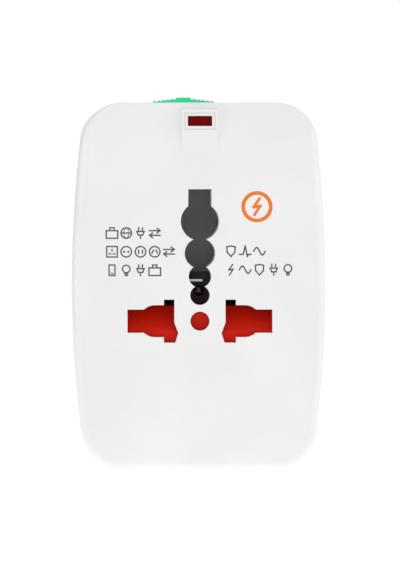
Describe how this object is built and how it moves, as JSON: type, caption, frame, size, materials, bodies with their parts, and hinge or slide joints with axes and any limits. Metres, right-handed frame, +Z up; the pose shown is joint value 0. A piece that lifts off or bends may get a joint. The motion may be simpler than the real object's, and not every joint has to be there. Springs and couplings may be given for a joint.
{
  "type": "universal travel adapter",
  "caption": "Universal travel plug adapter: shuttered socket module with indicator window and release slider on a slide-off rear module with folding plug pins.",
  "frame": {"origin": "middle of the flat bottom of the casing, half way between the socket face and the rear face", "axes": "+Z up along the casing's height, -Y out of the socket face, +Y out of the rear face where the pins fold out, +X to the right as seen from the socket side"},
  "size_m": [0.0502, 0.049, 0.0747],
  "materials": {
    "white_casing": "fine satin moulded plastic",
    "red_lens": "polished translucent red plastic",
    "clear_glass": "clear glass",
    "tinned_wire": "tinned wire",
    "beige_ceramic": "matt lacquered ceramic",
    "blue_coating": "epoxy coating",
    "carrier_plastic": "satin moulded plastic",
    "contact_brass": "pressed strip",
    "tinned_strip": "tinned strip",
    "spring_steel": "drawn spring steel",
    "black_steel": "blackened steel",
    "zinc_steel": "zinc plated steel",
    "red_plastic": "semi-gloss moulded plastic",
    "green_plastic": "satin moulded plastic",
    "nickel_plate": "nickel plated brass",
    "black_plastic": "satin moulded plastic"
  },
  "bodies": {
    "front_module": {"front_shell": "white_casing", "front_back_cover": "white_casing", "indicator_lens": "red_lens", "neon_lamp": "clear_glass", "lamp_leads": "tinned_wire", "lamp_resistor": "beige_ceramic", "surge_varistor": "blue_coating", "varistor_leads": "tinned_wire", "contact_carrier": "carrier_plastic", "live_socket_contact": "contact_brass", "neutral_socket_contact": "contact_brass", "earth_socket_contact": "contact_brass", "live_blade_wiper": "contact_brass", "neutral_blade_wiper": "contact_brass", "lamp_link_strip": "tinned_strip", "lamp_link_rivet": "tinned_strip", "carrier_screw": "black_steel", "shutter_spring_left": "spring_steel", "shutter_spring_right": "spring_steel", "front_screws": "zinc_steel"},
    "shutter": {"red_shutter": "red_plastic"},
    "release_slider": {"slider_cap": "green_plastic", "latch_plate": "spring_steel"},
    "left_blade": {"left_blade": "nickel_plate", "left_blade_hub": "black_plastic"},
    "right_blade": {"right_blade": "nickel_plate", "right_blade_hub": "black_plastic"},
    "rear_module": {"rear_shell": "white_casing", "rear_front_plate": "white_casing", "rear_screws": "zinc_steel", "live_sleeve_contact": "contact_brass", "neutral_sleeve_contact": "contact_brass", "live_busbar": "contact_brass", "neutral_busbar": "contact_brass", "earth_strap": "contact_brass", "uk_pin_stubs": "zinc_steel", "eu_pin_stubs": "zinc_steel", "earth_pin_axle": "zinc_steel"},
    "uk_pins": {"uk_pin_barrel": "black_plastic", "uk_live_pin": "nickel_plate", "uk_neutral_pin": "nickel_plate"},
    "uk_earth_pin": {"uk_earth_pin": "nickel_plate"},
    "eu_pins": {"eu_pin_barrel": "black_plastic", "eu_live_pin": "nickel_plate", "eu_neutral_pin": "nickel_plate"}
  },
  "joints": [
    {"name": "shutter_slide", "type": "slide", "parent": "front_module", "child": "shutter", "axis": [0, 0, -1], "range_m": [0, 0.0072], "stiffness_N_per_m": 80, "springref_m": -0.008, "deforming": ["shutter_spring_left", "shutter_spring_right"]},
    {"name": "release_slide", "type": "slide", "parent": "front_module", "child": "release_slider", "axis": [1, 0, 0], "range_m": [0, 0.0058]},
    {"name": "left_blade_twist", "type": "hinge", "parent": "front_module", "child": "left_blade", "pos_m": [-0.00635, 0, 0.02], "axis": [0, 1, 0], "range_deg": [0, 30]},
    {"name": "right_blade_twist", "type": "hinge", "parent": "front_module", "child": "right_blade", "pos_m": [0.00635, 0, 0.02], "axis": [0, -1, 0], "range_deg": [0, 30]},
    {"name": "rear_module_pull", "type": "slide", "parent": "front_module", "child": "rear_module", "axis": [0, 1, 0], "range_m": [0, 0.03]},
    {"name": "uk_pins_fold", "type": "hinge", "parent": "rear_module", "child": "uk_pins", "pos_m": [0, 0.0213, 0.01], "axis": [-1, 0, 0], "range_deg": [0, 90]},
    {"name": "uk_earth_fold", "type": "hinge", "parent": "rear_module", "child": "uk_earth_pin", "pos_m": [0, 0.0201, 0.0322], "axis": [-1, 0, 0], "range_deg": [0, 90]},
    {"name": "eu_pins_fold", "type": "hinge", "parent": "rear_module", "child": "eu_pins", "pos_m": [0, 0.0215, 0.066], "axis": [1, 0, 0], "range_deg": [0, 90]}
  ]
}
